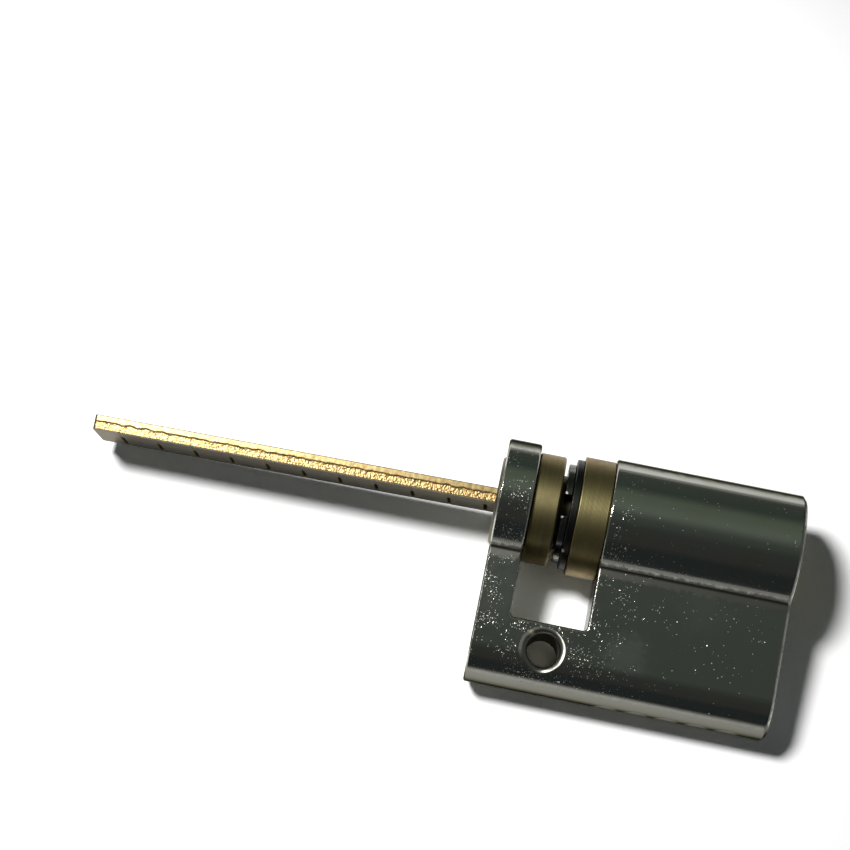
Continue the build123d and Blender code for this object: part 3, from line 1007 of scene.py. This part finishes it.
@dataclass
class SpringStacks:
    """The five coil springs, each with its end turns closed.

    Attributes:
        chamber_first: Place of the first chamber along the axis.
        chamber_pitch: Distance between chambers.
        chamber_count: How many there are.
        near: Drop of the coil's first turn below the axis.
        far: Drop of its last turn.
        travel: How far the driver pin under it rises.
        coil_radius: Radius of the coil at the middle of the wire.
        wire_diameter: Diameter of the wire.
        turns: How many turns it has.
        closed_turns: How many of them lie closed at each end.
        steps: Points on each turn.
        wire_sides: Sides of the wire.
    """

    chamber_first: float = 25.5
    chamber_pitch: float = 4.0
    chamber_count: int = 5
    near: float = 11.7
    far: float = 21.7
    travel: float = 4.0
    coil_radius: float = 1.1
    wire_diameter: float = 0.3
    turns: float = 9.0
    closed_turns: float = 1.1
    steps: int = 36
    wire_sides: int = 12

    def tree(self, material: Material) -> FormGraph:
        """The tree that winds one spring upwards from the origin.

        Args:
            material: The wire's material.

        Returns:
            The tree, ready to grow.
        """
        form = FormGraph("pin_spring", {
            "Height": (self.far - self.near) * MM,
            "Coil Radius": self.coil_radius * MM,
            "Wire Diameter": self.wire_diameter * MM,
            "Turns": self.turns,
            "Closed Share": self.closed_turns / self.turns,
            "Points": int(self.turns * self.steps) + 1,
        })
        height, radius, diameter, turns, closed, count = form.inputs()
        line = form.add("CurvePrimitiveLine", {"Start": (0, 0, 0), "End": (0, 0, 1)})
        line = form.add("ResampleCurve", {"Curve": line.outputs[0], "Count": count})
        part = form.add("SplineParameter").outputs["Factor"]
        turned = form.product(part, turns)
        angle = form.product(turned, 2 * pi)
        slack = form.math("SUBTRACT", height, form.product(turns, diameter))
        opened = form.spread(part, (closed, form.math("SUBTRACT", 1.0, closed)))
        point = form.add("ShaderNodeCombineXYZ", {
            0: form.product(form.math("COSINE", angle), radius),
            1: form.product(form.math("SINE", angle), radius),
            2: form.math("MULTIPLY_ADD", opened, slack, form.product(turned, diameter)),
        })
        coil = form.add("SetPosition", {"Geometry": line.outputs[0], "Position": point.outputs[0]})
        wire = form.add("CurvePrimitiveCircle", {"Resolution": self.wire_sides,
                                                 "Radius": form.product(diameter, 0.5)})
        tube = form.add("CurveToMesh", {"Curve": coil.outputs[0], "Profile Curve": wire.outputs[0],
                                        "Fill Caps": True})
        form.close(tube.outputs[0], material)
        return form

    def build(self, material: Material) -> None:
        """Wind the springs and set each in its chamber.

        Args:
            material: The wire's material.
        """
        form = self.tree(material)
        down = -UP_LEG
        turn = Vector((0, 0, 1)).rotation_difference(down).to_matrix().to_4x4()
        for number in range(1, self.chamber_count + 1):
            along = self.chamber_first - (number - 1) * self.chamber_pitch
            seat = AXIAL * along + down * self.near
            spring = form.grow(f"coil_spring_{number}", Matrix.Translation(seat * MM) @ turn)
            # The swept wire comes out with its faces inwards
            spring.data.flip_normals()
            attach(spring, "cylinder")
            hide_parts(f"pin_spring_{number}")
            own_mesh(spring)
            LOG.info("%s: %d faces", spring.name, len(spring.data.polygons))


@dataclass
class TurnedCollar:
    """The brass ring beside the front barrel, with the fine grooves of its turning.

    Attributes:
        front: Its front face along the axis.
        rear: Its rear face.
        outer_radius: Radius of its rim.
        bore_radius: Radius of its bore.
        edge_radius: Rounding of the rim's edges.
        edge_steps: Points on each rounding.
        groove_pitch: Distance between turned grooves.
        groove_steps: Points on each groove.
        groove_depth: Depth of the grooves.
        drift_rate: How fast that depth varies along the axis.
        segments: Faces round the ring.
    """

    front: float = 5.05
    rear: float = 0.95
    outer_radius: float = 8.05
    bore_radius: float = 5.05
    edge_radius: float = 0.18
    edge_steps: int = 4
    groove_pitch: float = 0.16
    groove_steps: int = 4
    groove_depth: float = 0.012
    drift_rate: float = 2.3
    segments: int = 288

    def outline(self) -> list[tuple[float, float]]:
        """The ring's closed section.

        Returns:
            Place along the axis and radius of each point.
        """
        soft, top = self.edge_radius, self.outer_radius
        middle = (self.bore_radius + self.outer_radius) / 2
        quarter = [pi / 2 * step / self.edge_steps for step in range(self.edge_steps + 1)]
        points = [(self.rear, self.bore_radius), (self.rear, middle)]
        points += [(self.rear + soft * (1 - cos(a)), top - soft * (1 - sin(a))) for a in quarter]
        length = self.front - self.rear - 2 * soft
        steps = ceil(length / (self.groove_pitch / self.groove_steps))
        for step in range(1, steps):
            along = self.rear + soft + length * step / steps
            wave = 0.5 - 0.5 * cos(2 * pi * (along - self.rear - soft) / self.groove_pitch)
            drift = 0.5 + 0.5 * noise.noise(Vector((along * self.drift_rate, 4.0, 9.0)))
            points.append((along, top - self.groove_depth * wave * drift))
        points += [(self.front - soft * (1 - cos(a)), top - soft * (1 - sin(a)))
                   for a in reversed(quarter)]
        return [*points, (self.front, middle), (self.front, self.bore_radius)]

    def mesh(self) -> bpy.types.Mesh:
        """The section turned round the plug's axis.

        Returns:
            The mesh in the part's frame.
        """
        outline = self.outline()
        rows = len(outline)
        points, faces = [], []
        for segment in range(self.segments):
            angle = 2 * pi * segment / self.segments
            points += [(x * MM, r * cos(angle) * MM, r * sin(angle) * MM) for x, r in outline]
            here, there = segment * rows, (segment + 1) % self.segments * rows
            for row in range(rows):
                after = (row + 1) % rows
                faces.append((here + row, there + row, there + after, here + after))
        return finished_mesh("turned_collar", points, faces, sharp=35.0)

    def build(self, material: Material) -> None:
        """Turn the ring and let it stand for the plain one.

        Args:
            material: Its brass.
        """
        ring = add_object("turned_collar", self.mesh())
        ring.data.materials.append(material)
        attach(ring, "plug")
        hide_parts("plug_collar")
        LOG.info("%s: %d faces", ring.name, len(ring.data.polygons))


def finished_mesh(name: str, points: list[Place], faces: list[tuple[int, ...]], sharp: float,
                  **values: list[float]) -> bpy.types.Mesh:
    """A mesh with its faces turned outwards, smooth but for its sharp edges.

    Args:
        name: The mesh's name.
        points: Its points, in metres.
        faces: The points of each face.
        sharp: Degrees between faces from which their edge is sharp.
        values: Attributes by name, each with a number for each point.

    Returns:
        The mesh.
    """
    mesh = bpy.data.meshes.new(name)
    mesh.from_pydata(points, [], faces)
    for label, numbers in values.items():
        mesh.attributes.new(label, "FLOAT", "POINT").data.foreach_set("value", numbers)
    form = bmesh.new()
    form.from_mesh(mesh)
    bmesh.ops.remove_doubles(form, verts=form.verts, dist=1e-7)
    bmesh.ops.recalc_face_normals(form, faces=form.faces)
    for face in form.faces:
        face.smooth = True
    for edge in form.edges:
        edge.smooth = len(edge.link_faces) == 2 and edge.calc_face_angle(0.0) < radians(sharp)
    form.to_mesh(mesh)
    form.free()
    return mesh


def eased(value: float, low: float, high: float) -> float:
    """A number carried from the range between two others to 0 and 1, slow at both ends."""
    share = min(max((value - low) / (high - low), 0.0), 1.0)
    return share * share * (3.0 - 2.0 * share)


@dataclass
class TailBlade:
    """The break-off blade: a sheared brass bar that hangs on its cross pin.

    Attributes:
        behind_pin: Length behind the pin.
        before_pin: Length before the pin.
        width: Its width, which stands upright.
        thickness: Its thickness.
        corner: Rounding along its edges.
        corner_rows: Faces on that rounding.
        face_rows: Faces down a broad face.
        edge_rows: Faces across a narrow edge.
        step: Distance between rows of points along it.
        end_corner: Rounding of the corners of its free end.
        end_rows: Places of the rows on that rounding, as shares of it.
        notch_first: Distance from the free end to the first notch.
        notch_pitch: Distance between notches.
        notch_count: How many notches it has.
        notch_width: Width of a notch at the surface.
        notch_depth: Depth that the two shares below are of.
        notch_least: Share of the depth that a notch has all down the face.
        notch_gain: Share that it gains below the middle of the face.
        notch_starts: Shares of the width, from the top, over which it gains that.
        notch_ends: Shares of the width over which it loses that again.
        tear_depth: How deep the torn part of a sheared edge goes.
        tear_from: Height across the thickness at which the torn part starts.
        tear_ramp: Height over which the edge drops into the torn part.
        tear_wander: Reach, rate and noise layer of each wave in the torn part's border.
        tear_shares: Shares of the depth: the torn part's own, its ridges, its grains, and the
            waves of the whole edge.
    """

    behind_pin: float = 57.3
    before_pin: float = 2.44
    width: float = 8.0
    thickness: float = 2.0
    corner: float = 0.12
    corner_rows: int = 3
    face_rows: int = 18
    edge_rows: int = 26
    step: float = 0.085
    end_corner: float = 0.4
    end_rows: tuple[float, ...] = (0.0, 0.08, 0.2, 0.4, 0.7)
    notch_first: float = 3.6
    notch_pitch: float = 5.0
    notch_count: int = 11
    notch_width: float = 0.6
    notch_depth: float = 0.2
    notch_least: float = 0.12
    notch_gain: float = 1.3
    notch_starts: tuple[float, float] = (0.3, 0.58)
    notch_ends: tuple[float, float] = (0.85, 0.96)
    tear_depth: float = 0.08
    tear_from: float = 0.24
    tear_ramp: float = 0.22
    tear_wander: tuple[tuple[float, float, tuple[float, float]], ...] = (
        (0.16, 0.9, (1.0, 2.0)), (0.07, 4.1, (7.0, 3.0)))
    tear_shares: tuple[float, float, float, float] = (0.3, 0.8, 0.8, 0.12)

    def section(self) -> list[tuple[float, float]]:
        """The bar's section, as a closed round of points.

        Returns:
            Place down the width and across the thickness of each point.
        """
        arcs = []
        quarters = ((-1, -1, pi), (1, -1, 1.5 * pi), (1, 1, 0.0), (-1, 1, 0.5 * pi))
        for down, across, start in quarters:
            centre = (down * (self.width / 2 - self.corner),
                      across * (self.thickness / 2 - self.corner))
            angles = [start + pi / 2 * row / self.corner_rows
                      for row in range(self.corner_rows + 1)]
            arcs.append([(centre[0] + self.corner * cos(turn), centre[1] + self.corner * sin(turn))
                         for turn in angles])
        points = []
        side_rows = (self.face_rows, self.edge_rows) * 2
        for arc, after, rows in zip(arcs, arcs[1:] + arcs[:1], side_rows):
            (from_down, from_across), (to_down, to_across) = arc[-1], after[0]
            shares = [row / rows for row in range(1, rows)]
            points += arc + [(from_down + (to_down - from_down) * share,
                              from_across + (to_across - from_across) * share) for share in shares]
        return points

    def tear(self, along: float, across: float) -> float:
        """How far the sheared edge is torn in at a point.

        Args:
            along: Place along the bar, counted from its free end.
            across: Place across its thickness.

        Returns:
            The depth in millimetres.
        """
        border = self.tear_from
        for reach, rate, layer in self.tear_wander:
            border += reach * noise.noise(Vector((along * rate, *layer)))
        inside = min(max((border - across) / self.tear_ramp, 0.0), 1.0)
        # Each noise has its own rates along and across the edge, and its own layer
        ridges = abs(noise.noise(Vector((along * 3.1 + across * 0.8, across * 2.1, 5.0))))
        grains = 0.5 + 0.5 * noise.fractal(Vector((along * 5.5, across * 5.0, 8.0)), 1.0, 2.0, 3)
        waves = noise.noise(Vector((along * 1.7, across * 2.0, 12.0)))
        whole, ridged, grained, wavy = self.tear_shares
        torn = inside * (whole + ridged * ridges + grained * grains)
        return self.tear_depth * (torn + wavy * waves)

    def notch(self, along: float, down: float) -> float:
        """Depth of the notches at a point of the notched face.

        Args:
            along: Place along the bar, counted from its free end.
            down: Place down its width, counted from the middle.

        Returns:
            The depth in millimetres.
        """
        nearest = round((along - self.notch_first) / self.notch_pitch)
        if not 0 <= nearest < self.notch_count:
            return 0.0
        gap = abs(along - self.notch_first - nearest * self.notch_pitch)
        share = 0.5 + down / self.width
        gained = self.notch_gain * eased(share, *self.notch_starts)
        left = 1.0 - eased(share, *self.notch_ends)
        open_share = max(0.0, 1.0 - 2.0 * gap / self.notch_width)
        return self.notch_depth * (self.notch_least + gained * left) * open_share

    def mesh(self) -> bpy.types.Mesh:
        """The bar as rows of its section, with its sheared edges, notches and free end.

        Returns:
            The mesh in the part's frame.
        """
        section = self.section()
        length = self.behind_pin + self.before_pin
        count = ceil(length / self.step)
        stations = [self.end_corner * share for share in self.end_rows]
        plain_from = self.end_corner * 0.75
        plain = (length * row / count for row in range(count + 1))
        stations += [station for station in plain if station > plain_from]
        frame = self.frame()
        edge_from = self.width / 2 - self.corner * 0.5
        torn_to = self.thickness / 2 - self.corner * 0.9
        points, dirt = [], []
        for station in stations:
            left = self.end_corner - min(station, self.end_corner)
            shrink = self.end_corner - (self.end_corner**2 - left**2)**0.5
            for down, across in section:
                height = down * (1 - 2 * shrink / self.width)
                if abs(down) > edge_from and abs(across) < torn_to:
                    height -= self.tear(station, across) * (1 if down > 0 else -1)
                cut = self.notch(station, down) * max(0.0, -across * 2 / self.thickness)
                # Painted shade in the notches, darkest where a notch cuts deepest
                dirt.append(min(2 * cut / self.notch_depth, 1.0))
                point = Vector((height, across + cut, station - self.behind_pin)) * MM
                points.append(frame @ point)
        rows = len(section)
        last = (len(stations) - 1) * rows
        faces = [(here + row, here + (row + 1) % rows,
                  here + rows + (row + 1) % rows, here + rows + row)
                 for here in range(0, last, rows) for row in range(rows)]
        faces += [tuple(range(rows)), tuple(range(last, last + rows))]
        return finished_mesh("sheared_blade", points, faces, sharp=50.0, notch_dirt=dirt)

    def frame(self) -> Matrix:
        """Where the blade's own axes stand: X down its width, Y across it, Z to the key side."""
        turn = Matrix((BLADE_DOWN, BLADE_SIDE, BLADE_AXIS)).transposed().to_4x4()
        return Matrix.Translation(BLADE_PIN * MM) @ turn

    def build(self, material: Material) -> None:
        """Make the blade and let it stand for the plain bar.

        Args:
            material: Its brass.
        """
        blade = add_object("sheared_blade", self.mesh())
        blade.data.materials.append(material)
        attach(blade, "blade")
        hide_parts("tail_blade")
        LOG.info("%s: %d faces", blade.name, len(blade.data.polygons))


def dress_frame(nodes: dict[str, bpy.types.Object], materials: dict[str, Material]) -> None:
    """Give every CAD node the finish of its slot.

    Args:
        nodes: The CAD nodes by name.
        materials: The finishes by slot.
    """
    for name, node in nodes.items():
        slot = node.material_slots[0].material.name
        node.data.materials[0] = materials[slot]
        LOG.info("%s: %s", name, slot)


def main() -> None:
    """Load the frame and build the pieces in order."""
    logging.basicConfig(level=logging.INFO, format="%(name)s %(message)s")
    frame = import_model()
    Studio().build()
    materials = {finish.slot.value: Metal(finish).dress() for finish in FINISHES}
    dress_frame(frame["nodes"], materials)
    TurnedCollar().build(materials[Slot.AGED_BRASS.value])
    TailBlade().build(materials[Slot.BLADE_BRASS.value])
    SpringStacks().build(materials[Slot.SPRING_STEEL.value])


if __name__ == "__main__":
    main()
